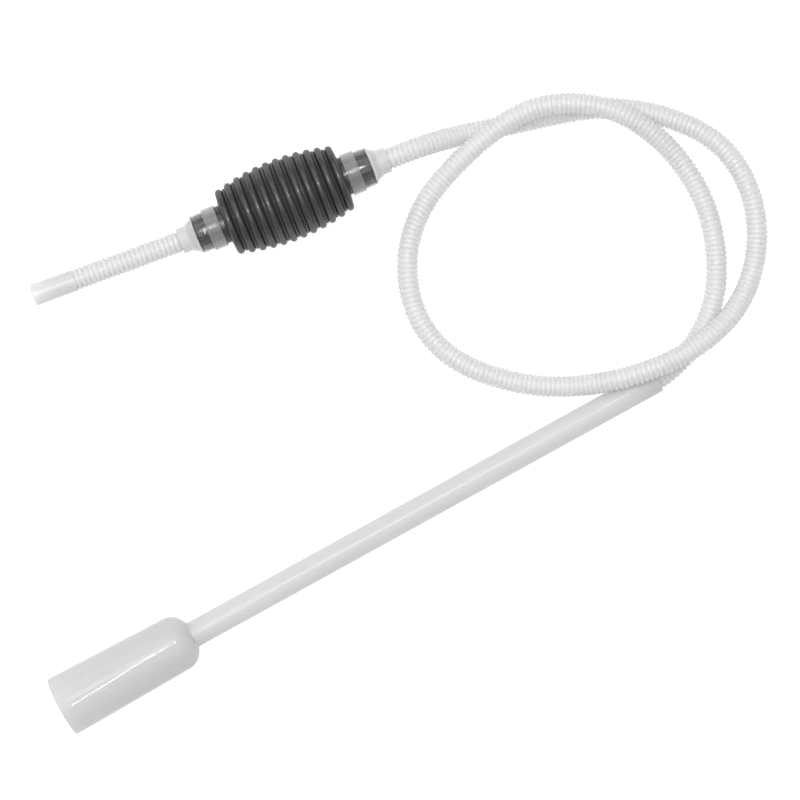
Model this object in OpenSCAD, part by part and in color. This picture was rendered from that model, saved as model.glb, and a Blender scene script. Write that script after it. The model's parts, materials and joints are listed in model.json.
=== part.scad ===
// Gravel vacuum siphon with a ribbed hand pump, lying on a table.
// The drawing is in the object's own frame: +Z up, Z = 0 is the table.
// Round parts are drawn along their own axis and then laid in place.

/* [Gravel tube] */
// Outside diameter at the open mouth
mouth_d = 46.2; // [43:0.2:50]
// Outside diameter where the rounded shoulder begins
shoulder_d = 42; // [38:0.5:45]
// Length from the mouth to the start of the shoulder
straight_len = 96; // [60:1:140]
// Radius of the rounded shoulder
shoulder_r = 14; // [11:0.5:16]
// Wall thickness of the gravel tube
tube_wall = 1.5; // [1:0.1:2.5]
// Length of the sleeve that grips the pipe
sleeve_len = 16; // [12:1:30]

/* [Suction pipe] */
// Outside diameter of the rigid pipe
pipe_d = 19.6; // [17.6:0.1:21]
// Bore of the rigid pipe
pipe_bore = 15.8; // [14:0.1:16]
// Bore of the socket at its far end, which takes the hose end
pipe_socket_bore = 16.2; // [16.2:0.1:16.6]
// Whole length of the rigid pipe
pipe_len = 410.8; // [300:0.1:411]
// Sliding clearance between the pipe and the gravel tube, on the radius
pull_gap = 0.05; // [0.02:0.01:0.1]

/* [Pump bulb] */
// Diameter over the tallest ribs
bulb_d = 62.6; // [58:0.2:66]
// Diameter over the end ribs
bulb_end_d = 50.6; // [46:0.2:54]
// Number of round ribs
rib_count = 12; // [8:1:12]
// Distance from rib to rib
rib_pitch = 7.9; // [7:0.1:8.5]
// Radius of a rib's round crest
rib_r = 2.7; // [1.8:0.1:2.8]
// Depth of the groove between two ribs
groove_depth = 2.5; // [2:0.1:3.2]
// Thickness of the bulb's wall
bulb_wall = 1.8; // [1.4:0.1:2.4]
// Outside diameter of the bulb's two necks
neck_d = 28.6; // [27:0.2:29.6]

/* [End fittings] */
// Diameter of the collar that clamps a neck
collar_d = 31.6; // [31:0.1:34]
// Length of the collar
collar_len = 10; // [8:0.5:12]
// Neck left bare between the bulb and the outlet collar
outlet_neck_gap = 3.5; // [2:0.1:5]
// Neck left bare between the bulb and the inlet collar
inlet_neck_gap = 2.2; // [2:0.1:5]
// Outside diameter of the clear cup
cup_d = 29.6; // [29:0.1:30.6]
// Length of the cup's straight part
cup_len = 9; // [8:0.5:12]
// Length of the cup's cone
cone_len = 6.4; // [5:0.2:9]
// Outside diameter of the hose socket
socket_d = 19; // [18.6:0.1:20]
// Length of the hose socket beyond the cone
socket_len = 6.8; // [6:0.2:10]
// Spacing of the thread ridges on the valve body
thread_pitch = 2; // [1.8:0.05:2]

/* [Check valves] */
// Diameter of the hole that a valve disc shuts
seat_hole_d = 11; // [9:0.5:13]
// Diameter of a valve disc
disc_d = 15; // [14.5:0.5:16]
// Thickness of a valve disc
disc_h = 1.6; // [1.2:0.1:2]
// Diameter of the disc's guide stem
stem_d = 3; // [2.5:0.1:4]
// How far a valve disc lifts off its seat
valve_lift = 2.4; // [1.5:0.1:2.4]

/* [Hoses] */
// Outside diameter over the hose's corrugations
hose_d = 16; // [15:0.2:16]
// Spacing of the corrugations
corrugation_pitch = 3.7; // [3.2:0.1:4.2]
// Depth of a corrugation
corrugation_depth = 1.1; // [0.8:0.1:1.4]
// Number of corrugations on the outlet tube
outlet_corrugations = 22; // [10:1:30]
// Length of the smooth cuff at the outlet tube's free end
cuff_len = 33; // [20:1:40]
// Bore of the smooth cuff
cuff_bore = 14.4; // [13.5:0.1:14.6]
// How far a hose end is pushed into its socket
hose_in_socket = 6; // [4:0.5:6]
// How far the hose end is pushed into the pipe
hose_in_pipe = 14; // [8:1:20]

/* [Layout] */
// Direction of the pump's axis on the table, in degrees
pump_turn = 21.6; // [21.4:0.1:21.8]
// Direction of the pipe's axis on the table, in degrees
pipe_turn = 28.8; // [28.6:0.1:29]
// Sideways bend of the outlet tube where it leaves its socket, in degrees
outlet_bend = 1.4; // [0:0.1:3]

/* [Hidden] */

$fn = 96;
// Small overlap that keeps cuts clean
eps = 0.01;
// Gap between a ring and what it surrounds on another body
body_gap = 0.1;

// Middle of the bulb, resting on its tallest ribs
pump_at = [-46.8, 178.05, bulb_d / 2];

// The gravel tube's shoulder and the pipe's far end both rest on the table,
// so their common axis slopes down to that end
head_len = straight_len + shoulder_r;
reach = head_len - sleeve_len + pipe_len;
pipe_tilt = asin((shoulder_d - pipe_d) / 2 / (reach - straight_len));
mouth_height = shoulder_r + (shoulder_d / 2 - shoulder_r) * cos(pipe_tilt)
    + straight_len * sin(pipe_tilt);
// Middle of the gravel tube's mouth, whose rim hangs just above the table
mouth_at = [-211.9, -197.3, mouth_height];

// The bulb's crests follow a circular arc
rib_span = (rib_count - 1) * rib_pitch;
crown_drop = (bulb_d - bulb_end_d) / 2;
crown_r = (pow(rib_span / 2, 2) + pow(crown_drop, 2)) / (2 * crown_drop);
end_face_gap = 3.8;
bulb_half = rib_span / 2 + end_face_gap;
function crest_r(a) = bulb_d / 2 - crown_r + sqrt(pow(crown_r, 2) - a * a);
function valley_r(a) = crest_r(a) - groove_depth;
function rib_at(i) = (i - (rib_count - 1) / 2) * rib_pitch;

// Stations along an end fitting, outward from the collar's outer face
cup_end = cup_len;
cone_end = cup_end + cone_len;
socket_end = cone_end + socket_len;
cup_wall = 0.9;
gasket_h = 0.8;
body_len = cup_len - gasket_h;
thread_crest_r = cup_d / 2 - cup_wall - 0.05;
neck_wall = 2.6;
spigot_r = neck_d / 2 - neck_wall - body_gap;
spigot_len = collar_len;
seat_h = 1.5;
cage_h = 1.6;
flow_r = 8.6;
cage_r = flow_r;
gasket_r = flow_r + 1.4;
// Bore of the cup between its cone and the hose end
passage_r = 6.6;
// Gap round a hose end in its socket
socket_gap = 0.05;

// Outer end of each hose socket, measured from the middle of the bulb
inlet_socket_at = bulb_half + inlet_neck_gap + collar_len + socket_end;
outlet_socket_at = bulb_half + outlet_neck_gap + collar_len + socket_end;

pump_dir = [cos(pump_turn), sin(pump_turn), 0];
pipe_dir = [
    cos(pipe_turn) * cos(pipe_tilt),
    sin(pipe_turn) * cos(pipe_tilt),
    -sin(pipe_tilt)
];
pipe_end_at = mouth_at + reach * pipe_dir;

// The main hose's centreline: out of the inlet socket, down to the table,
// once and a half round the loop, and into the end of the pipe.
hose_route = [
    pump_at + (inlet_socket_at - hose_in_socket) * pump_dir,
    pump_at + (inlet_socket_at + 4) * pump_dir,
    [60, 220, 25], [90, 229, 12], [121, 236, 8], [153, 243, 8],
    [185, 248, 8], [218, 246, 8], [250, 237, 8], [278, 220, 8],
    [297, 193, 8], [305, 161, 8], [302, 128, 9], [288, 98, 17],
    [265, 75, 25], [237, 58, 27], [206, 47, 26], [174, 41, 14],
    [141, 41, 8], [108, 48, 8], [78, 62, 8], [56, 85, 8],
    [45, 116, 8], [46, 149, 9], [59, 180, 14], [80, 205, 23],
    [106, 228, 28], [135, 245, 27], [167, 250, 25], [199, 244, 25],
    [227, 228, 18], [250, 205, 10], [266, 177, 8], [274, 145, 8],
    [274, 112, 8], [264, 82, 8], [247, 59, 9],
    pipe_end_at + 2 * pipe_dir,
    pipe_end_at - hose_in_pipe * pipe_dir
];

// Colours of the plastics and the rubber
milky = [0.90, 0.91, 0.92];
clear = [0.84, 0.88, 0.90];
frosted = [0.72, 0.73, 0.74];
black_rubber = [0.22, 0.22, 0.23];
black_plastic = [0.12, 0.12, 0.13];
silicone = [0.80, 0.45, 0.30];
cage_white = [0.95, 0.95, 0.93];

// Lays a part drawn along +Z from the mouth onto the gravel tube's axis
module along_pipe() {
    translate(mouth_at)
        rotate([0, 90 + pipe_tilt, pipe_turn])
            children();
}

// Lays a part drawn along +Z from the bulb's middle onto the pump's axis
module along_pump() {
    translate(pump_at)
        rotate([0, 90, pump_turn])
            children();
}

// Lays a fitting part whose Z = 0 is the outer face of the inlet collar
module at_inlet() {
    along_pump()
        translate([0, 0, bulb_half + inlet_neck_gap + collar_len])
            children();
}

// The same for the outlet collar, which faces the other way
module at_outlet() {
    along_pump()
        mirror([0, 0, 1])
            translate([0, 0, bulb_half + outlet_neck_gap + collar_len])
                children();
}

module ring(r_out, r_in, h) {
    difference() {
        cylinder(r = r_out, h = h);
        translate([0, 0, -1]) cylinder(r = r_in, h = h + 2);
    }
}

// Half section of the gravel tube's outside, or its inside when thinned
module tube_section(thin) {
    start = thin > 0 ? -1 : 0;
    polygon([
        [0, start],
        [mouth_d / 2 - thin, start],
        [shoulder_d / 2 - thin, straight_len],
        [0, straight_len]
    ]);
    intersection() {
        translate([shoulder_d / 2 - shoulder_r, straight_len])
            circle(r = shoulder_r - thin);
        translate([0, straight_len - eps])
            square([shoulder_d, shoulder_r + 1]);
    }
    translate([0, straight_len - eps])
        square([shoulder_d / 2 - shoulder_r, shoulder_r - thin + eps]);
}

module gravel_tube() {
    sleeve_r = pipe_d / 2 + pull_gap;
    color(clear)
        along_pipe()
            difference() {
                union() {
                    difference() {
                        rotate_extrude() tube_section(0);
                        rotate_extrude() tube_section(tube_wall);
                    }
                    translate([0, 0, head_len - sleeve_len])
                        cylinder(r = sleeve_r + tube_wall, h = sleeve_len - tube_wall / 2);
                }
                translate([0, 0, straight_len / 2]) cylinder(r = sleeve_r, h = straight_len);
            }
}

module suction_pipe() {
    socket_depth = hose_in_pipe + 0.2;
    color(milky)
        along_pipe()
            translate([0, 0, head_len - sleeve_len])
                difference() {
                    ring(pipe_d / 2, pipe_bore / 2, pipe_len);
                    translate([0, 0, pipe_len - socket_depth])
                        cylinder(r = pipe_socket_bore / 2, h = socket_depth + 1);
                }
}

// Half section of the bulb's outside
module bulb_outside() {
    polygon([
        [0, -bulb_half],
        [neck_d / 2, -bulb_half],
        [valley_r(rib_span / 2), -rib_span / 2 - rib_r],
        for (i = [0 : rib_count - 1]) [valley_r(rib_at(i)), rib_at(i)],
        [valley_r(rib_span / 2), rib_span / 2 + rib_r],
        [neck_d / 2, bulb_half],
        [0, bulb_half]
    ]);
    for (i = [0 : rib_count - 1])
        translate([crest_r(rib_at(i)) - rib_r, rib_at(i)])
            circle(r = rib_r);
}

// Half section of the air space, which follows the ribs
module bulb_inside() {
    // The wall is thinner at a crest, where the rubber folds
    crest_wall = 1.6;
    polygon([
        [0, bulb_wall - bulb_half],
        [neck_d / 2 - neck_wall, bulb_wall - bulb_half],
        for (i = [0 : rib_count - 1])
            [valley_r(rib_at(i)) - bulb_wall, rib_at(i)],
        [neck_d / 2 - neck_wall, bulb_half - bulb_wall],
        [0, bulb_half - bulb_wall]
    ]);
    for (i = [0 : rib_count - 1])
        translate([crest_r(rib_at(i)) - rib_r - crest_wall / 2, rib_at(i)])
            circle(r = rib_r - crest_wall / 2);
}

module bulb() {
    inlet_neck = inlet_neck_gap + collar_len;
    outlet_neck = outlet_neck_gap + collar_len;
    neck_bore_r = spigot_r + body_gap;
    color(black_rubber)
        along_pump()
            difference() {
                union() {
                    rotate_extrude() bulb_outside();
                    translate([0, 0, -bulb_half - outlet_neck])
                        cylinder(r = neck_d / 2, h = 2 * bulb_half + inlet_neck + outlet_neck);
                }
                rotate_extrude() bulb_inside();
                translate([0, 0, -2 * bulb_half])
                    cylinder(r = neck_bore_r, h = 4 * bulb_half);
            }
}

// Smooth ring that clamps a neck onto the valve body's spigot
module collar() {
    color(frosted)
        translate([0, 0, -collar_len])
            ring(collar_d / 2, neck_d / 2 + body_gap, collar_len);
}

// Black insert: a spigot inside the neck, and a threaded barrel in the cup
module valve_body() {
    ridge_h = 0.6;
    ridges = floor(body_len / thread_pitch);
    root_r = thread_crest_r - ridge_h;
    rotate_extrude() {
        translate([flow_r, -spigot_len])
            square([spigot_r - flow_r, spigot_len + eps]);
        translate([flow_r, 0])
            square([root_r - flow_r, body_len]);
        for (i = [0 : ridges - 1])
            translate([root_r, thread_pitch * (i + 0.5)])
                polygon([[-0.1, -0.8], [ridge_h, -0.25], [ridge_h, 0.25], [-0.1, 0.8]]);
    }
}

// Thin wall across a valve body, with the hole that the disc shuts
module seat_wall(at) {
    translate([0, 0, at])
        ring(flow_r + eps, seat_hole_d / 2, seat_h);
}

// Disc and guide stem; the disc shuts downward, onto a seat below it
module valve_disc() {
    color(silicone) {
        cylinder(r = disc_d / 2, h = disc_h);
        cylinder(r = stem_d / 2, h = disc_h + valve_lift + cage_h);
    }
}

// Three-spoked guide pressed into the valve body ahead of the disc
module valve_cage() {
    stem_gap = 0.08;
    hub_r = stem_d / 2 + 1.5;
    rim_r = cage_r - 1;
    spoke_w = 1.5;
    bite = 0.3;
    color(cage_white) {
        ring(hub_r, stem_d / 2 + stem_gap, cage_h);
        ring(cage_r, rim_r, cage_h);
        for (k = [0 : 2])
            rotate([0, 0, 120 * k])
                translate([hub_r - bite, -spoke_w / 2, 0])
                    cube([rim_r - hub_r + 2 * bite, spoke_w, cage_h]);
    }
}

// Flat sealing ring between the valve body and the cup's shoulder
module gasket() {
    color(black_rubber)
        translate([0, 0, body_len])
            ring(thread_crest_r, gasket_r, gasket_h);
}

// Clear housing: a straight cup over the thread, a cone and a hose socket
module cup() {
    r = cup_d / 2;
    socket_r = socket_d / 2;
    hose_r = hose_d / 2 + socket_gap;
    step = socket_end - hose_in_socket - 0.1;
    color(clear)
        rotate_extrude()
            difference() {
                polygon([
                    [0, 0], [r, 0], [r - 0.3, cup_end - 1], [r - 1.2, cup_end + 0.6],
                    [socket_r + 0.6, cone_end - 0.5], [socket_r, cone_end + 0.6],
                    [socket_r, socket_end], [0, socket_end]
                ]);
                polygon([
                    [0, -1], [r - cup_wall, -1], [r - cup_wall, cup_end],
                    [flow_r + 1.2, cup_end], [passage_r, cone_end - 0.8], [passage_r, step],
                    [hose_r, step], [hose_r, socket_end + 1], [0, socket_end + 1]
                ]);
            }
}

// Straight corrugated tube with a smooth cuff at its free end
module outlet_tube() {
    crest_r = hose_d / 2;
    root_r = crest_r - corrugation_depth;
    ribbed_wall = 0.8;
    first = hose_in_socket + 1;
    ribbed = outlet_corrugations * corrugation_pitch;
    color(milky)
        at_outlet()
            translate([0, 0, socket_end])
                rotate([-outlet_bend, 0, 0])
                    translate([0, 0, -hose_in_socket])
                        difference() {
                            rotate_extrude()
                                polygon([
                                    [0, 0], [root_r, 0],
                                    for (i = [0 : outlet_corrugations - 1])
                                        let (z = first + i * corrugation_pitch)
                                            each [
                                                [root_r, z + 0.1], [crest_r, z + 1],
                                                [crest_r, z + 2.2], [root_r, z + 3.1]
                                            ],
                                    [root_r, first + ribbed], [crest_r, first + ribbed + 0.6],
                                    [crest_r, first + ribbed + cuff_len],
                                    [0, first + ribbed + cuff_len]
                                ]);
                            translate([0, 0, -1])
                                cylinder(r = root_r - ribbed_wall, h = first + ribbed + 2);
                            translate([0, 0, first + ribbed + 1])
                                cylinder(r = cuff_bore / 2, h = cuff_len);
                        }
}

// Sweep of a round section along a route of points
function unit(v) = v / norm(v);
function heading(route, i) =
    unit(route[min(i + 1, len(route) - 1)] - route[max(i - 1, 0)]);
function side(d) = unit(cross(d, [0, 0, 1]));
function hose_ring(at, d, r, sides) =
    let (u = side(d), v = cross(u, d))
        [for (k = [0 : sides - 1]) at + r * (cos(360 * k / sides) * u + sin(360 * k / sides) * v)];

module swept_tube(route, r, sides) {
    n = len(route);
    points = [for (i = [0 : n - 1]) each hose_ring(route[i], heading(route, i), r, sides)];
    faces = [
        [for (k = [0 : sides - 1]) k],
        for (i = [0 : n - 2], k = [0 : sides - 1])
            let (a = i * sides + k, b = i * sides + (k + 1) % sides)
                each [[a, a + sides, b], [b, a + sides, b + sides]],
        [for (k = [sides - 1 : -1 : 0]) (n - 1) * sides + k]
    ];
    polyhedron(points = points, faces = faces, convexity = 10);
}

module main_hose() {
    color(milky)
        swept_tube(hose_route, hose_d / 2, 12);
}

module inlet_cup() { at_inlet() cup(); }
module inlet_gasket() { at_inlet() gasket(); }
module inlet_valve_body() {
    color(black_plastic)
        at_inlet() {
            valve_body();
            seat_wall(body_len - seat_h);
        }
}
// The inlet disc shuts outward and opens towards the bulb
module inlet_valve_disc() {
    at_inlet()
        translate([0, 0, body_len - seat_h])
            mirror([0, 0, 1]) valve_disc();
}
module inlet_valve_cage() {
    at_inlet()
        translate([0, 0, body_len - seat_h - disc_h - valve_lift - cage_h - 0.1])
            valve_cage();
}
module inlet_collar() { at_inlet() collar(); }

module outlet_collar() { at_outlet() collar(); }
module outlet_valve_body() {
    color(black_plastic)
        at_outlet() {
            valve_body();
            seat_wall(0);
        }
}
// The outlet disc shuts towards the bulb and opens outward
module outlet_valve_disc() {
    at_outlet()
        translate([0, 0, seat_h]) valve_disc();
}
module outlet_valve_cage() {
    at_outlet()
        translate([0, 0, seat_h + disc_h + valve_lift + 0.1])
            valve_cage();
}
module outlet_gasket() { at_outlet() gasket(); }
module outlet_cup() { at_outlet() cup(); }

gravel_tube();
suction_pipe();
main_hose();
inlet_cup();
inlet_gasket();
inlet_valve_body();
inlet_valve_disc();
inlet_valve_cage();
inlet_collar();
bulb();
outlet_collar();
outlet_valve_body();
outlet_valve_disc();
outlet_valve_cage();
outlet_gasket();
outlet_cup();
outlet_tube();
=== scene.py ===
"""Gravel vacuum siphon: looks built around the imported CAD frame.

Lengths are metres in the row frame: +Z up, Z = 0 is the table.
"""

import json
import math

import bpy
import numpy as np
from mathutils import Matrix, Vector


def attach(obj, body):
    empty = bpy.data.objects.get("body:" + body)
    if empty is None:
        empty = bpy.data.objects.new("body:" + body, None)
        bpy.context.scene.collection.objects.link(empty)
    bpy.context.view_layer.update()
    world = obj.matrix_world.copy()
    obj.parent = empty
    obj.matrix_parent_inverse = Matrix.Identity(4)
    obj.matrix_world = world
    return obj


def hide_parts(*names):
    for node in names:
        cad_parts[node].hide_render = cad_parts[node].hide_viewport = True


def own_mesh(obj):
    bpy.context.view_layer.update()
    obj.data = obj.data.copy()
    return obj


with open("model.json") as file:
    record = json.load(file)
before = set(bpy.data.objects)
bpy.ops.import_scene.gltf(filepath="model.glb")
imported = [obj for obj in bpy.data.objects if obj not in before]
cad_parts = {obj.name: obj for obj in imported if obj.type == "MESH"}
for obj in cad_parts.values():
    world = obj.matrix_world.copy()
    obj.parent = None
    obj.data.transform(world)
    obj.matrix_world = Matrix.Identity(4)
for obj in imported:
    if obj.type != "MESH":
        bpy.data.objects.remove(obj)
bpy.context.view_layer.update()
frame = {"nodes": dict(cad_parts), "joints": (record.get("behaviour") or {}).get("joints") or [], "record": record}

MM = 0.001
JOINTS = {j["name"]: j for j in frame["joints"]}
MOUNTS = {m["name"]: m for m in frame["record"]["mounts"]}

# ---------------------------------------------------------------- layout
# Pump: middle of the bulb, and the direction from the outlet to the inlet
PUMP_AT = Vector((-46.8, 178.05, 31.3)) * MM
PUMP_DIR = Vector(JOINTS["bulb_squeeze"]["axis"]).normalized()
# Pipe: from the gravel tube's mouth to the pipe's hose end
PIPE_DIR = -Vector(JOINTS["gravel_tube_pull"]["axis"]).normalized()

BULB_D = 62.6
BULB_END_D = 50.6
RIB_COUNT = 12
RIB_PITCH = 7.9
RIB_R = 2.7
RIB_HALF_ARC = 80.0
GROOVE_DEPTH = 2.5
BULB_WALL = 3.0
# A groove's sides: distance past the rib, and rise above the groove's floor
GROOVE_SIDES = [(0.5, 0.45), (0.85, 0.65)]
GROOVE_MIDDLE_RISE = 0.42
NECK_R = 14.3
NECK_BORE_R = 11.7
RIB_SPAN = (RIB_COUNT - 1) * RIB_PITCH
BULB_HALF = RIB_SPAN / 2 + 3.8
CROWN_DROP = (BULB_D - BULB_END_D) / 2
CROWN_R = ((RIB_SPAN / 2) ** 2 + CROWN_DROP**2) / (2 * CROWN_DROP)

COLLAR_R = 15.8
COLLAR_LEN = 10.0
INLET_GAP = 2.2
OUTLET_GAP = 3.5
CUP_R = 14.8
CUP_END = 9.0
CONE_END = 15.4
SOCKET_END = 22.2
SOCKET_R = 9.5
FLOW_R = 8.6
THREAD_ROOT_R = 13.6
THREAD_RISE = 0.55
THREAD_PITCH = 2.0
THREAD_TOP = 6.4

HEAD_LEN = 110.0
MOUTH_R = 23.1
SHOULDER_R = 21.0
SHOULDER_ARC = 14.0
STRAIGHT_LEN = 96.0
HEAD_WALL = 1.5
SLEEVE_LEN = 16.0
SLEEVE_R = 9.85
PIPE_R = 9.8
PIPE_BORE_R = 7.9
PIPE_SOCKET_R = 8.1
PIPE_LEN = 410.8
REACH = HEAD_LEN - SLEEVE_LEN + PIPE_LEN

HOSE_R = 8.0
HOSE_PITCH = 3.7
HOSE_DEPTH = 1.05
HOSE_SIDES = 28
RIB_SOFTENING = 3.5
HOSE_IN_SOCKET = 6.0
HOSE_IN_PIPE = 14.0
OUTLET_RIBS = 22
CUFF_LEN = 33.0
CUFF_BORE_R = 7.2

INLET_FACE = PUMP_AT + PUMP_DIR * (BULB_HALF + INLET_GAP + COLLAR_LEN) * MM
OUTLET_FACE = PUMP_AT - PUMP_DIR * (BULB_HALF + OUTLET_GAP + COLLAR_LEN) * MM
INLET_SOCKET = INLET_FACE + PUMP_DIR * SOCKET_END * MM
OUTLET_SOCKET = OUTLET_FACE - PUMP_DIR * SOCKET_END * MM
OUTLET_DIR = Vector(MOUNTS["outlet_cuff_bore"]["axis"]).normalized()

TILT = math.asin(-PIPE_DIR.z)
MOUTH_HEIGHT = (
    SHOULDER_ARC
    + (SHOULDER_R - SHOULDER_ARC) * math.cos(TILT)
    + STRAIGHT_LEN * math.sin(TILT)
)
MOUTH_AT = Vector((-211.9, -197.3, MOUTH_HEIGHT)) * MM
PIPE_END = MOUTH_AT + PIPE_DIR * REACH * MM

# The main hose's route, in millimetres, between its two sockets
HOSE_ROUTE = [
    (60, 220, 25), (90, 229, 12), (121, 236, 8), (153, 243, 8),
    (185, 248, 8), (218, 246, 8), (250, 237, 8), (278, 220, 8),
    (297, 193, 8), (305, 161, 8), (302, 128, 9), (288, 98, 17),
    (265, 75, 25), (237, 58, 27), (206, 47, 26), (174, 41, 14),
    (141, 41, 8), (108, 48, 8), (78, 62, 8), (56, 85, 8),
    (45, 116, 8), (46, 149, 9), (59, 180, 14), (80, 205, 23),
    (106, 228, 28), (135, 245, 27), (167, 250, 25), (199, 244, 25),
    (227, 228, 18), (250, 205, 10), (266, 177, 8), (274, 145, 8),
    (274, 112, 8), (264, 82, 8), (247, 59, 9),
]

# One corrugation: share of the pitch, and share of the depth that is left
CORRUGATION = [
    (0.00, 0.00), (0.12, 0.12), (0.21, 0.60), (0.31, 0.94),
    (0.50, 1.00), (0.69, 0.94), (0.79, 0.60), (0.88, 0.12),
]


# ---------------------------------------------------------------- camera
def make_camera():
    """A long lens straight above the table, 2.2 m up."""
    data = bpy.data.cameras.new("camera")
    data.lens = 132.0
    data.sensor_width = 36.0
    data.clip_start = 0.05
    data.clip_end = 60.0
    cam = bpy.data.objects.new("camera", data)
    cam.location = (0.0385, 0.0302, 2.2)
    bpy.context.scene.collection.objects.link(cam)
    bpy.context.scene.camera = cam


make_camera()


# ---------------------------------------------------------------- materials
def grey(value):
    """Neutral grey."""
    return (value, value, value)


# How a pattern is stretched: drawn out along the piece's axis, or not at all
ALONG = (1.0, 1.0, 0.12)
EVEN = (1.0, 1.0, 1.0)
# Layer Weight's Blend, and the power that makes a skin's share rise steeply
FACING_BLEND = 0.5
STEEP_POWER = 5.0


class Graph:
    """A node tree with short ways to add and link nodes."""

    def __init__(self, name):
        self.material = bpy.data.materials.new(name)
        self.material.use_nodes = True
        self.tree = self.material.node_tree
        self.tree.nodes.clear()
        self.coords = self.tree.nodes.new("ShaderNodeTexCoord")

    def node(self, kind, **settings):
        made = self.tree.nodes.new("ShaderNode" + kind)
        for key, value in settings.items():
            setattr(made, key, value)
        return made

    def link(self, source, target):
        self.tree.links.new(source, target)

    def mapped(self, scale):
        """Object coordinates, in millimetres, with each axis scaled."""
        mapping = self.node("Mapping")
        mapping.inputs["Scale"].default_value = [s / MM for s in scale]
        self.link(self.coords.outputs["Object"], mapping.inputs["Vector"])
        return mapping.outputs["Vector"]

    def noise(self, scale, stretch, detail, roughness=0.5):
        """Noise whose features are about 1 / scale millimetres wide."""
        made = self.node("TexNoise")
        self.link(self.mapped(stretch), made.inputs["Vector"])
        made.inputs["Scale"].default_value = scale
        made.inputs["Detail"].default_value = detail
        made.inputs["Roughness"].default_value = roughness
        return made.outputs["Fac"]

    def ranged(self, source, low, high, first=0.3, last=0.7):
        """source from first..last as low..high."""
        made = self.node("MapRange")
        made.inputs["From Min"].default_value = first
        made.inputs["From Max"].default_value = last
        made.inputs["To Min"].default_value = low
        made.inputs["To Max"].default_value = high
        self.link(source, made.inputs["Value"])
        return made.outputs["Result"]

    def blended(self, factor, first, second):
        """One colour to another by factor."""
        made = self.node("Mix", data_type="RGBA")
        self.link(factor, made.inputs["Factor"])
        made.inputs[6].default_value = (*first, 1.0)
        made.inputs[7].default_value = (*second, 1.0)
        return made.outputs[2]

    def bump(self, source, strength, depth_mm):
        made = self.node("Bump")
        made.inputs["Strength"].default_value = strength
        made.inputs["Distance"].default_value = depth_mm * MM
        self.link(source, made.inputs["Height"])
        return made.outputs["Normal"]

    def principled(self, colour, rough, normal=None, **plain):
        """plain holds values that are the same all over the surface."""
        made = self.node("BsdfPrincipled")
        self.link(colour, made.inputs["Base Color"])
        self.link(rough, made.inputs["Roughness"])
        if normal is not None:
            self.link(normal, made.inputs["Normal"])
        for key, value in plain.items():
            made.inputs[key.replace("_", " ")].default_value = value
        return made.outputs["BSDF"]

    def lit_through(self, shader, colour, normal, share):
        """shader with a share of its light coming through from behind."""
        through = self.node("BsdfTranslucent")
        self.link(colour, through.inputs["Color"])
        self.link(normal, through.inputs["Normal"])
        mix = self.node("MixShader")
        mix.inputs[0].default_value = share
        self.link(shader, mix.inputs[1])
        self.link(through.outputs["BSDF"], mix.inputs[2])
        return mix.outputs["Shader"]

    def facing(self):
        """0 where the surface is seen head on, to 1 where it is seen edge on."""
        weight = self.node("LayerWeight")
        weight.inputs["Blend"].default_value = FACING_BLEND
        return weight.outputs["Facing"]

    def see_through(self, shader, tint, face, edge):
        """shader over what lies behind it: face is its share seen head on."""
        clear = self.node("BsdfTransparent")
        clear.inputs["Color"].default_value = (*tint, 1.0)
        share = self.ranged(self.facing(), face, edge, 0.0, 1.0)
        mix = self.node("MixShader")
        self.link(share, mix.inputs[0])
        self.link(clear.outputs["BSDF"], mix.inputs[1])
        self.link(shader, mix.inputs[2])
        return mix.outputs["Shader"]

    def skinned(self, shader, roughness, face, edge):
        """shader under a glossy skin, whose share rises steeply edge on."""
        skin = self.node("BsdfAnisotropic", distribution="GGX")
        self.link(roughness, skin.inputs["Roughness"])
        steep = self.node("Math", operation="POWER")
        self.link(self.facing(), steep.inputs[0])
        steep.inputs[1].default_value = STEEP_POWER
        mix = self.node("MixShader")
        share = self.ranged(steep.outputs["Value"], face, edge, 0.0, 1.0)
        self.link(share, mix.inputs[0])
        self.link(shader, mix.inputs[1])
        self.link(skin.outputs["BSDF"], mix.inputs[2])
        return mix.outputs["Shader"]

    def along(self):
        """Distance along the piece's own axis, in metres."""
        split = self.node("SeparateXYZ")
        self.link(self.coords.outputs["Object"], split.inputs[0])
        return split.outputs["Z"]

    def done(self, shader):
        out = self.node("OutputMaterial")
        self.link(shader, out.inputs["Surface"])
        return self.material


def milky(name, light, dark, rough, through, face, edge, stretch, **plain):
    """Translucent milky plastic with faint flow marks and fine haze. face and
    edge are what it hides of what lies behind it, seen head on and edge on."""
    g = Graph(name)
    cloud = g.noise(0.05, stretch, 4.0)
    fine = g.noise(1.6, stretch, 2.0)
    colour = g.blended(g.ranged(cloud, 0.0, 1.0), grey(dark), grey(light))
    roughness = g.ranged(fine, rough - 0.03, rough + 0.05)
    normal = g.bump(fine, 0.05, 0.04)
    shader = g.principled(colour, roughness, normal, **plain)
    shader = g.lit_through(shader, colour, normal, through)
    return g.done(g.see_through(shader, grey(0.98), face, edge))


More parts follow.
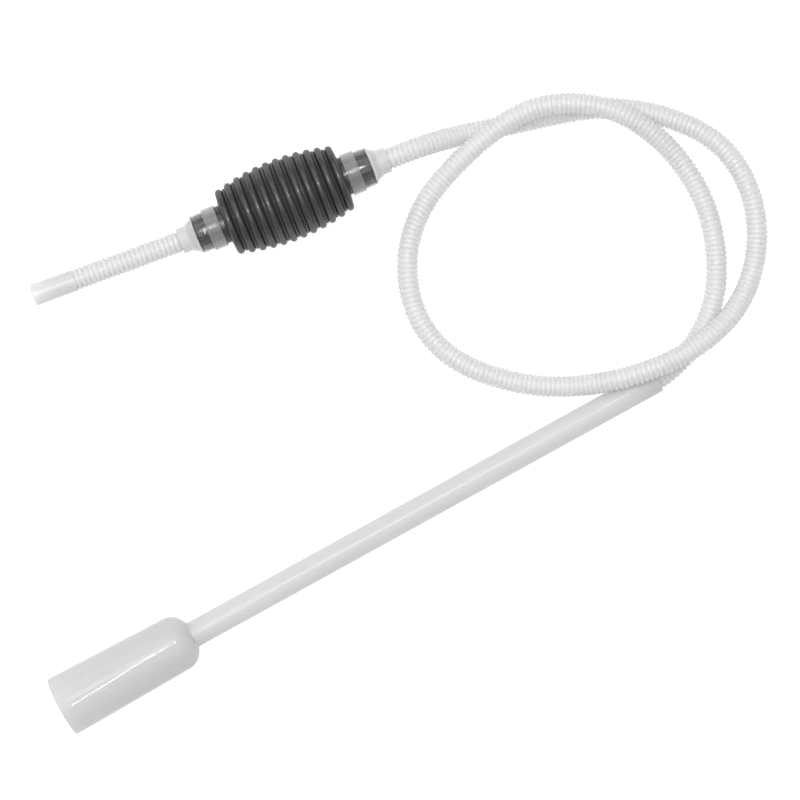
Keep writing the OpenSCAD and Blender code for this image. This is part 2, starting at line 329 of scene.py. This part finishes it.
def clear_shell(name, light, dark, rough, face, edge, milk=None):
    """Clear or milky plastic: haze, more of it edge on, under a glossy skin.
    milk is (start, end, share): more haze between two stations of the axis."""
    g = Graph(name)
    cloud = g.noise(0.08, ALONG, 4.0)
    fine = g.noise(1.2, ALONG, 2.0)
    colour = g.blended(g.ranged(cloud, 0.0, 1.0), grey(dark), grey(light))
    haze = g.principled(colour, g.ranged(fine, 0.3, 0.4), Specular_IOR_Level=0.0)
    body = g.see_through(haze, grey(0.985), face, edge)
    if milk:
        start, end, share = milk
        mix = g.node("MixShader")
        g.link(g.ranged(g.along(), 0.0, share, start * MM, end * MM), mix.inputs[0])
        g.link(body, mix.inputs[1])
        g.link(haze, mix.inputs[2])
        body = mix.outputs["Shader"]
    polish = g.ranged(fine, rough - 0.02, rough + 0.04)
    return g.done(g.skinned(body, polish, 0.04, 0.3))


def rubber(name, light, dark, rough, face, edge, **plain):
    """Moulded black rubber: a faint bloom and fine grain under a soft sheen."""
    g = Graph(name)
    bloom = g.noise(0.12, EVEN, 5.0, 0.6)
    grain = g.noise(2.4, EVEN, 3.0)
    colour = g.blended(g.ranged(bloom, 0.0, 1.0), grey(dark), grey(light))
    normal = g.bump(grain, 0.10, 0.05)
    body = g.principled(colour, g.ranged(bloom, 0.55, 0.45), normal, **plain)
    sheen = g.ranged(bloom, rough + 0.04, rough - 0.04)
    return g.done(g.skinned(body, sheen, face, edge))


def moulded(name, light, dark, rough, gloss=0.5):
    """Solid moulded plastic with slight colour drift and texture."""
    g = Graph(name)
    drift = g.noise(0.2, EVEN, 4.0)
    grain = g.noise(2.0, EVEN, 3.0)
    colour = g.blended(g.ranged(drift, 0.0, 1.0), dark, light)
    roughness = g.ranged(grain, rough - 0.05, rough + 0.08)
    normal = g.bump(grain, 0.10, 0.05)
    shader = g.principled(colour, roughness, normal, Specular_IOR_Level=gloss)
    return g.done(shader)


MATERIALS = {
    "head": milky(
        "head_plastic", light=0.81, dark=0.78, rough=0.04,
        through=0.30, face=0.80, edge=0.88, stretch=ALONG,
        Specular_IOR_Level=0.5,
    ),
    "pipe": milky(
        "pipe_plastic", light=0.89, dark=0.86, rough=0.17,
        through=0.45, face=0.93, edge=0.97, stretch=ALONG,
    ),
    "hose": milky(
        "hose_plastic", light=0.81, dark=0.78, rough=0.20,
        through=0.15, face=0.90, edge=0.62, stretch=EVEN,
        Specular_IOR_Level=0.6,
        Subsurface_Weight=0.85,
        Subsurface_Radius=(1.0, 1.0, 1.0),
        Subsurface_Scale=0.006,
    ),
    "outlet": milky(
        "outlet_plastic", light=0.88, dark=0.85, rough=0.20,
        through=0.15, face=0.88, edge=0.70, stretch=EVEN,
        Subsurface_Weight=0.85,
        Subsurface_Radius=(1.0, 1.0, 1.0),
        Subsurface_Scale=0.003,
    ),
    "collar": clear_shell(
        "collar_plastic", light=0.60, dark=0.54, rough=0.09, face=0.16, edge=0.66
    ),
    "clear": clear_shell(
        "clear_plastic", light=0.82, dark=0.78, rough=0.06, face=0.01, edge=0.13,
        milk=(CUP_END, CONE_END, 0.62),
    ),
    "rubber": rubber(
        "bulb_rubber", light=0.031, dark=0.024, rough=0.15, face=0.055, edge=0.12,
        Specular_IOR_Level=0.3,
    ),
    "black": moulded(
        "black_plastic", light=grey(0.014), dark=grey(0.009), rough=0.14, gloss=0.9
    ),
    "seal": rubber(
        "seal_rubber", light=0.026, dark=0.018, rough=0.45, face=0.03, edge=0.12,
        Specular_IOR_Level=0.2,
    ),
    "silicone": moulded(
        "silicone", light=(0.72, 0.40, 0.26), dark=(0.62, 0.33, 0.20), rough=0.42
    ),
    "white": moulded("white_plastic", light=grey(0.82), dark=grey(0.76), rough=0.35),
}


# ---------------------------------------------------------------- mesh tools
def placed(origin, direction):
    """Matrix that lays local +Z along direction from origin."""
    turn = Vector(direction).to_track_quat("Z", "Y").to_matrix().to_4x4()
    return Matrix.Translation(origin) @ turn


def new_piece(name, points, faces, material, crease):
    """A mesh object with smooth faces, sharp where they meet above crease."""
    mesh = bpy.data.meshes.new(name)
    mesh.from_pydata([tuple(p) for p in points], [], faces)
    mesh.validate()
    mesh.update()
    mesh.polygons.foreach_set("use_smooth", [True] * len(mesh.polygons))
    mesh.set_sharp_from_angle(angle=math.radians(crease))
    mesh.materials.append(MATERIALS[material])
    piece = bpy.data.objects.new(name, mesh)
    bpy.context.scene.collection.objects.link(piece)
    return piece


def soften(piece, outward):
    """Evens out the shading of ribs in cloudy plastic, which glows from within:
    the part of each vertex normal along its outward vector is multiplied."""
    mesh = piece.data
    radial = outward / np.linalg.norm(outward, axis=1, keepdims=True)
    own = np.array([tuple(v.normal) for v in mesh.vertices])
    along = np.sum(own * radial, axis=1, keepdims=True)
    mixed = own + (RIB_SOFTENING - 1) * along * radial
    mixed /= np.linalg.norm(mixed, axis=1, keepdims=True)
    mesh.normals_split_custom_set_from_vertices([tuple(n) for n in mixed])


def ring_faces(rings, sides, closed):
    """Quads between rings of points; closed joins the last to the first."""
    faces = []
    last = rings if closed else rings - 1
    for i in range(last):
        a, b = i * sides, ((i + 1) % rings) * sides
        for k in range(sides):
            n = (k + 1) % sides
            faces.append((a + k, a + n, b + n, b + k))
    return faces


def revolved(name, profile, sides, material, crease, radius=None):
    """A solid of revolution about local Z. profile is a closed loop of (r, z)
    in millimetres, anticlockwise; radius(r, z, angle) may modulate it."""
    angles = [2 * math.pi * k / sides for k in range(sides)]
    points = []
    for r, z in profile:
        for a in angles:
            here = r if radius is None else radius(r, z, a)
            points.append((here * math.cos(a) * MM, here * math.sin(a) * MM, z * MM))
    return new_piece(
        name, points, ring_faces(len(profile), sides, True), material, crease
    )


def arc(centre_r, centre_z, radius, start, end, steps):
    """Points (r, z) along an arc, angles in degrees from +r towards +z."""
    made = []
    for k in range(steps + 1):
        a = math.radians(start + (end - start) * k / steps)
        made.append((centre_r + radius * math.cos(a), centre_z + radius * math.sin(a)))
    return made


def settle(piece, origin, direction, body, slot, *nodes):
    """Lays a revolved piece in place, attaches it to its body, and hides the CAD nodes it stands in for."""
    piece.matrix_world = placed(origin, direction)
    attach(piece, body)
    if nodes:
        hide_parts(*nodes)
    return piece


# ---------------------------------------------------------------- main hose
def spline(points, step):
    """Natural cubic spline by chord length, resampled every step."""
    p = np.array(points, float)
    t = np.concatenate([[0], np.cumsum(np.linalg.norm(np.diff(p, axis=0), axis=1))])
    n, h = len(p), np.diff(t)
    a = np.eye(n)
    rhs = np.zeros((n, 3))
    for i in range(1, n - 1):
        a[i, i - 1 : i + 2] = h[i - 1], 2 * (h[i - 1] + h[i]), h[i]
        rhs[i] = 6 * ((p[i + 1] - p[i]) / h[i] - (p[i] - p[i - 1]) / h[i - 1])
    m = np.linalg.solve(a, rhs)
    fine = np.linspace(0, t[-1], 6000)
    k = np.clip(np.searchsorted(t, fine, side="right") - 1, 0, n - 2)
    hk, u, w = h[k][:, None], (t[k + 1] - fine)[:, None], (fine - t[k])[:, None]
    line = (
        (m[k] * u**3 + m[k + 1] * w**3) / (6 * hk)
        + (p[k] / hk - m[k] * hk / 6) * u
        + (p[k + 1] / hk - m[k + 1] * hk / 6) * w
    )
    line[:, 2] = np.maximum(line[:, 2], HOSE_R)
    along = np.concatenate(
        [[0], np.cumsum(np.linalg.norm(np.diff(line, axis=0), axis=1))]
    )
    count = int(round(along[-1] / step))
    stations = np.linspace(0, along[-1], count + 1)
    return np.stack([np.interp(stations, along, line[:, i]) for i in range(3)], 1)


def swept(centres, radii, sides):
    """Rings of points square to a line of centres, in millimetres."""
    heading = np.gradient(centres, axis=0)
    heading /= np.linalg.norm(heading, axis=1)[:, None]
    side = np.cross(heading, [0.0, 0.0, 1.0])
    side /= np.linalg.norm(side, axis=1)[:, None]
    up = np.cross(side, heading)
    a = np.arange(sides) * 2 * math.pi / sides
    spread = (
        side[:, None, :] * np.cos(a)[None, :, None]
        + up[:, None, :] * np.sin(a)[None, :, None]
    )
    return centres[:, None, :] + spread * np.array(radii)[:, None, None]


def corrugated_radius(index):
    """Hose radius at one ring, for rings that run through CORRUGATION."""
    share = CORRUGATION[index % len(CORRUGATION)][1]
    return HOSE_R - HOSE_DEPTH * (1 - share)


def whole_route():
    """HOSE_ROUTE with its ends inside the two sockets, in millimetres."""
    start = INLET_SOCKET / MM - PUMP_DIR * HOSE_IN_SOCKET
    out_of_cup = INLET_SOCKET / MM + PUMP_DIR * 4
    out_of_pipe = PIPE_END / MM + PIPE_DIR * 2
    end = PIPE_END / MM - PIPE_DIR * HOSE_IN_PIPE
    return [start, out_of_cup, *HOSE_ROUTE, out_of_pipe, end]


def ring_centres(route):
    """Centres of the hose's rings: one CORRUGATION after another."""
    pitches = len(spline(route, HOSE_PITCH))
    fine = spline(route, HOSE_PITCH / 10)
    shares = np.array([s for s, _ in CORRUGATION])
    stations = (np.arange(pitches - 1)[:, None] + shares[None, :]).ravel()
    ends = np.linspace(0, len(fine) - 1, pitches)
    pick = np.interp(stations, np.arange(pitches), ends)
    places = np.arange(len(fine))
    return np.stack([np.interp(pick, places, fine[:, i]) for i in range(3)], 1)


def make_main_hose():
    """A free hose, swept along its route, that takes the CAD tube's place."""
    centres = ring_centres(whole_route())
    radii = [corrugated_radius(i) for i in range(len(centres))]
    rings = swept(centres, radii, HOSE_SIDES)
    points = rings.reshape(-1, 3) * MM
    faces = ring_faces(len(centres), HOSE_SIDES, False)
    first = tuple(range(HOSE_SIDES))
    last = tuple((len(centres) - 1) * HOSE_SIDES + k for k in first)
    faces += [first[::-1], last]
    piece = new_piece("hose_corrugated", points, faces, "hose", crease=75.0)
    soften(piece, (rings - centres[:, None]).reshape(-1, 3))
    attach(piece, "suction_side")
    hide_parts("main_hose")


make_main_hose()


# ---------------------------------------------------------------- outlet tube
def cuff_outline(start, inner):
    """Smooth cuff from start: out along its outside, and back along its bore."""
    end = start + CUFF_LEN
    smooth_r = HOSE_R - 0.05
    return [
        (HOSE_R - HOSE_DEPTH, start),
        (HOSE_R - 0.35, start + 0.5),
        (smooth_r, start + 1.2),
        (smooth_r, end - 5.0),
        (HOSE_R + 0.1, end - 2.0),
        (HOSE_R + 0.3, end - 0.3),
        (HOSE_R + 0.2, end),
        (CUFF_BORE_R + 0.25, end),
        (CUFF_BORE_R + 0.1, end - 0.6),
        (CUFF_BORE_R, end - 3.0),
        (CUFF_BORE_R, start + 1.5),
        (inner, start - 0.5),
    ]


def make_outlet_tube():
    """Ribbed stub that ends in a smooth cuff."""
    start = HOSE_IN_SOCKET + 1
    root = HOSE_R - HOSE_DEPTH
    inner = root - 0.8
    profile = [(inner, 0.0), (root, 0.0), (root, start)]
    for i in range(OUTLET_RIBS):
        at = start + i * HOSE_PITCH
        for share, left in CORRUGATION:
            profile.append((root + HOSE_DEPTH * left, at + share * HOSE_PITCH))
    profile += cuff_outline(start + OUTLET_RIBS * HOSE_PITCH, inner)
    piece = revolved(
        "outlet_tube_corrugated", profile, sides=40, material="outlet", crease=60.0
    )
    soften(piece, np.array([(v.co.x, v.co.y, 0.0) for v in piece.data.vertices]))
    origin = OUTLET_SOCKET - OUTLET_DIR * HOSE_IN_SOCKET * MM
    settle(piece, origin, OUTLET_DIR, "outlet_side", "hose_plastic", "outlet_tube")


# ---------------------------------------------------------------- bulb
def crest_r(a):
    """Radius of the bulb's barrel shape at a from its middle."""
    return BULB_D / 2 - CROWN_R + math.sqrt(CROWN_R**2 - a * a)


def rib_at(i):
    return (i - (RIB_COUNT - 1) / 2) * RIB_PITCH


def rib_outline(a):
    """A round crest at a, between two notches at the level of the grooves."""
    crest = crest_r(a)
    notch_r = crest - GROOVE_DEPTH + 0.15
    away = RIB_R + 0.05
    top = arc(crest - RIB_R, a, RIB_R, -RIB_HALF_ARC, RIB_HALF_ARC, 12)
    return [(notch_r, a - away), *top, (notch_r, a + away)]


def groove_outline(a):
    """The groove between the rib at a and the next one."""
    middle = a + RIB_PITCH / 2
    floor = crest_r(middle) - GROOVE_DEPTH
    near = [(floor + up, a + RIB_R + past) for past, up in GROOVE_SIDES]
    far = [(r, 2 * middle - z) for r, z in reversed(near)]
    return [*near, (floor + GROOVE_MIDDLE_RISE, middle), *far]


def bellows_outline():
    """Neck to neck: sloping end walls, and ribs with grooves between them."""
    last = rib_at(RIB_COUNT - 1)
    foot_r = crest_r(last) - GROOVE_DEPTH - 3.2
    foot_z = last + RIB_R + 0.35
    outline = [(NECK_R, -BULB_HALF), (foot_r, -foot_z)]
    for i in range(RIB_COUNT):
        if i > 0:
            outline += groove_outline(rib_at(i - 1))
        outline += rib_outline(rib_at(i))
    return [*outline, (foot_r, foot_z), (NECK_R, BULB_HALF)]


def make_bellows():
    """Hollow bellows between the two halves of the pump."""
    outside = bellows_outline()
    inside = []
    for r, z in reversed(outside[::4]):
        inside.append((max(r - BULB_WALL, NECK_BORE_R), z * 0.97))
    piece = revolved(
        "bulb_bellows", outside + inside, sides=128, material="rubber", crease=50.0
    )
    settle(piece, PUMP_AT, PUMP_DIR, "suction_side", "bulb_rubber", "bulb")
    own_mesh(piece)


def make_neck(name, body, face, outward, gap):
    """Plain rubber neck from the bulb's end wall to the collar's outer face."""
    depth = gap + COLLAR_LEN
    profile = [
        (NECK_BORE_R, 0.1),
        (NECK_R - 0.2, 0.1),
        (NECK_R, 0.4),
        (NECK_R, depth + 0.2),
        (NECK_R + 0.9, depth + 0.9),
        (NECK_R + 0.2, depth + 1.4),
        (NECK_BORE_R, depth + 1.4),
    ]
    inward = [(r, -z) for r, z in reversed(profile)]
    piece = revolved(name, inward, sides=96, material="rubber", crease=40.0)
    settle(piece, face, outward, body, "bulb_rubber", "bulb")


# ---------------------------------------------------------------- fittings
def make_collar(name, body, face, outward, node):
    """Smooth milky ring with a shallow bead at each end."""
    bore = NECK_R + 0.1
    half = COLLAR_LEN / 2
    profile = [(bore, -COLLAR_LEN)]
    for away in (-1.0, 1.0):
        edge = [
            (COLLAR_R - 0.35, half),
            (COLLAR_R - 0.08, half - 0.2),
            (COLLAR_R, half - 0.55),
            (COLLAR_R, half - 1.1),
            (COLLAR_R - 0.12, half - 1.5),
            (COLLAR_R - 0.12, half - 3.0),
        ]
        if away > 0:
            edge.reverse()
        profile += [(r, away * z - half) for r, z in edge]
    profile.append((bore, 0.0))
    piece = revolved(name, profile, sides=128, material="collar", crease=50.0)
    settle(piece, face, outward, body, "collar_plastic", node)


def threaded_r(r, z, angle):
    """The barrel's radius with one helical ridge, which fades out at its ends."""
    if r < THREAD_ROOT_R - 0.1 or not 0.05 < z < THREAD_TOP:
        return r
    phase = (z / THREAD_PITCH - angle / (2 * math.pi)) % 1.0
    flank = max(0.0, 1 - abs(phase - 0.5) / 0.32)
    fade = min(1.0, z / 0.8, (THREAD_TOP - z) / 0.8)
    return r + THREAD_RISE * min(1.0, 1.5 * flank) * fade


def make_threads(name, body, face, outward, node):
    """Black insert: spigot, helical thread ridges and a domed end."""
    spigot_r = NECK_BORE_R - 0.2
    lip_r = FLOW_R + 0.9
    dome_height = 3.2
    barrel = [(THREAD_ROOT_R, 0.1 + 0.2 * k) for k in range(32)]
    dome = []
    for k in range(1, 9):
        a = math.radians(90 * k / 8)
        r = lip_r + (THREAD_ROOT_R - lip_r) * math.cos(a)
        dome.append((r, THREAD_TOP + dome_height * math.sin(a)))
    profile = [
        (FLOW_R, -COLLAR_LEN),
        (spigot_r, -COLLAR_LEN),
        (spigot_r, 0.0),
        (THREAD_ROOT_R, 0.0),
        *barrel,
        *dome,
        (FLOW_R, THREAD_TOP + dome_height - 0.2),
    ]
    piece = revolved(
        name, profile, sides=144, material="black", crease=35.0, radius=threaded_r
    )
    settle(piece, face, outward, body, "black_plastic", node)


def make_cup(name, body, face, outward, node):
    """Clear cup over the thread, a cone, and the hose socket with its lip."""
    step = SOCKET_END - HOSE_IN_SOCKET - 0.1
    bore = HOSE_R + 0.05
    passage = 6.6
    profile = [
        (CUP_R - 0.45, 0.1),
        (CUP_R - 0.25, 0.1),
        (CUP_R, 0.35),
        (CUP_R, 1.2),
        (CUP_R - 0.2, CUP_END - 1.0),
        (CUP_R - 0.4, CUP_END - 0.1),
        (CUP_R - 1.2, CUP_END + 1.2),
        (CUP_R - 2.6, CUP_END + 2.4),
        (SOCKET_R + 0.9, CONE_END - 1.0),
        (SOCKET_R + 0.35, CONE_END - 0.2),
        (SOCKET_R, CONE_END + 0.8),
        (SOCKET_R, SOCKET_END - 0.5),
        (SOCKET_R - 0.3, SOCKET_END),
        (bore + 0.3, SOCKET_END),
        (bore, SOCKET_END - 0.4),
        (bore, step),
        (passage, step),
        (passage, CONE_END - 0.6),
        (SOCKET_R - 0.3, CONE_END - 1.7),
        (CUP_R - 3.6, CUP_END + 2.0),
        (CUP_R - 1.7, CUP_END + 0.7),
        (CUP_R - 0.8, CUP_END),
        (CUP_R - 0.5, CUP_END - 1.0),
    ]
    piece = revolved(name, profile, sides=96, material="clear", crease=32.0)
    settle(piece, face, outward, body, "clear_plastic", node)


def make_fittings():
    ends = [
        ("inlet", "suction_side", INLET_FACE, PUMP_DIR, INLET_GAP),
        ("outlet", "outlet_side", OUTLET_FACE, -PUMP_DIR, OUTLET_GAP),
    ]
    for side, body, face, outward, gap in ends:
        make_neck(f"{side}_neck", body, face, outward, gap)
        make_collar(f"{side}_collar_ring", body, face, outward, f"{side}_collar")
        make_threads(f"{side}_thread", body, face, outward, f"{side}_valve_body")
        make_cup(f"{side}_cup_clear", body, face, outward, f"{side}_cup")


# ---------------------------------------------------------------- gravel tube
def flared_r(z):
    """The gravel tube's outer radius at z from its mouth, up to the shoulder."""
    return MOUTH_R - (MOUTH_R - SHOULDER_R) * z / STRAIGHT_LEN


def make_gravel_tube():
    """Flared tube with a rounded rim, a round shoulder and a pipe sleeve."""
    rim = 0.45
    parts = 12
    sleeve_end = HEAD_LEN - SLEEVE_LEN
    arc_r = SHOULDER_R - SHOULDER_ARC
    thin_arc = SHOULDER_ARC - HEAD_WALL
    outside = [(MOUTH_R - rim, 0.0), (MOUTH_R - 0.1, 0.12), (MOUTH_R, rim)]
    for k in range(1, parts + 1):
        z = rim + (STRAIGHT_LEN - rim) * k / parts
        outside.append((flared_r(z), z))
    outside += arc(arc_r, STRAIGHT_LEN, SHOULDER_ARC, 6.0, 72.0, 11)
    outside += [(SLEEVE_R + 0.9, HEAD_LEN - 0.12), (SLEEVE_R - 0.03, HEAD_LEN)]
    sleeve = [
        (SLEEVE_R, sleeve_end + 0.3),
        (SLEEVE_R + 0.3, sleeve_end),
        (SLEEVE_R + HEAD_WALL, sleeve_end),
        (SLEEVE_R + HEAD_WALL, HEAD_LEN - HEAD_WALL - 1.2),
    ]
    inside = arc(arc_r, STRAIGHT_LEN, thin_arc, 60.0, 0.0, 10)
    for k in range(parts - 1, 0, -1):
        z = STRAIGHT_LEN * k / parts
        inside.append((flared_r(z) - HEAD_WALL, z))
    inside += [(MOUTH_R - HEAD_WALL, 0.5), (MOUTH_R - HEAD_WALL + 0.3, 0.05)]
    profile = outside + sleeve + inside
    piece = revolved(
        "gravel_tube_shell", profile, sides=128, material="head", crease=35.0
    )
    settle(piece, MOUTH_AT, PIPE_DIR, "gravel_tube", "head_plastic", "gravel_tube")


def make_pipe():
    """Extruded pipe with softened ends and the hose's socket."""
    start = HEAD_LEN - SLEEVE_LEN
    end = start + PIPE_LEN
    step = end - HOSE_IN_PIPE - 0.2
    parts = 24
    stations = [start + PIPE_LEN * k / parts for k in range(1, parts)]
    outside = [(PIPE_R - 0.35, start), (PIPE_R, start + 0.4)]
    outside += [(PIPE_R, z) for z in stations]
    outside += [(PIPE_R, end - 0.5), (PIPE_R - 0.3, end)]
    inside = [
        (PIPE_SOCKET_R + 0.2, end),
        (PIPE_SOCKET_R, end - 0.3),
        (PIPE_SOCKET_R, step),
        (PIPE_BORE_R, step),
    ]
    inside += [(PIPE_BORE_R, z) for z in reversed(stations)]
    inside += [(PIPE_BORE_R, start + 0.3), (PIPE_BORE_R + 0.2, start)]
    piece = revolved(
        "suction_pipe_tube", outside + inside, sides=72, material="pipe", crease=35.0
    )
    settle(piece, MOUTH_AT, PIPE_DIR, "suction_side", "pipe_plastic", "suction_pipe")


# ---------------------------------------------------------------- CAD nodes
def dress(node, material):
    """Gives a CAD node, whose shape is right, its finished material."""
    mesh = frame["nodes"][node].data
    mesh.materials.clear()
    mesh.materials.append(MATERIALS[material])


def dress_inner_parts():
    for side in ("inlet", "outlet"):
        dress(f"{side}_gasket", "seal")
        dress(f"{side}_valve_disc", "silicone")
        dress(f"{side}_valve_cage", "white")


# ---------------------------------------------------------------- studio
def make_floor():
    """A plain pale floor that glows a little, so it reads as white."""
    mesh = bpy.data.meshes.new("floor")
    half = 8.0
    corners = [(-half, -half), (half, -half), (half, half), (-half, half)]
    mesh.from_pydata([(x, y, 0.0) for x, y in corners], [], [(0, 1, 2, 3)])
    g = Graph("floor_white")
    grain = g.noise(0.01, EVEN, 2.0)
    colour = g.blended(g.ranged(grain, 0.0, 1.0), grey(0.30), grey(0.31))
    rough = g.ranged(grain, 0.75, 0.8)
    shader = g.principled(
        colour,
        rough,
        Specular_IOR_Level=0.1,
        Emission_Color=(1.0, 1.0, 1.0, 1.0),
        Emission_Strength=0.85,
    )
    mesh.materials.append(g.done(shader))
    floor = bpy.data.objects.new("floor", mesh)
    bpy.context.scene.collection.objects.link(floor)


def make_light(name, place, turn, size, radiance):
    """A soft box facing down, turned about the vertical by turn degrees."""
    data = bpy.data.lights.new(name, "AREA")
    data.shape = "RECTANGLE"
    data.size, data.size_y = size
    data.energy = radiance * math.pi * size[0] * size[1]
    lamp = bpy.data.objects.new(name, data)
    lamp.location = place
    lamp.rotation_euler = (0.0, 0.0, math.radians(turn))
    lamp.visible_camera = False
    bpy.context.scene.collection.objects.link(lamp)


def make_studio():
    """Floor, even surrounding light, and four soft boxes."""
    make_floor()
    world = bpy.data.worlds.new("studio")
    world.use_nodes = True
    back = world.node_tree.nodes["Background"]
    back.inputs["Color"].default_value = (1.0, 1.0, 1.0, 1.0)
    back.inputs["Strength"].default_value = 0.48
    bpy.context.scene.world = world
    make_light("ceiling", (-1.0, 1.4, 2.6), 0.0, (5.0, 5.0), 0.85)
    make_light("key", (-0.30, 0.48, 2.5), 0.0, (0.9, 0.9), 3.6)
    make_light("pump_strip", (0.093, 0.46, 2.3), 25.0, (0.8, 0.05), 42.0)
    make_light("head_strip", (-0.242, -0.178, 2.3), 107.6, (1.0, 0.02), 40.0)
    bpy.context.scene.view_settings.view_transform = "Standard"


make_outlet_tube()
make_bellows()
make_fittings()
make_gravel_tube()
make_pipe()
dress_inner_parts()
make_studio()
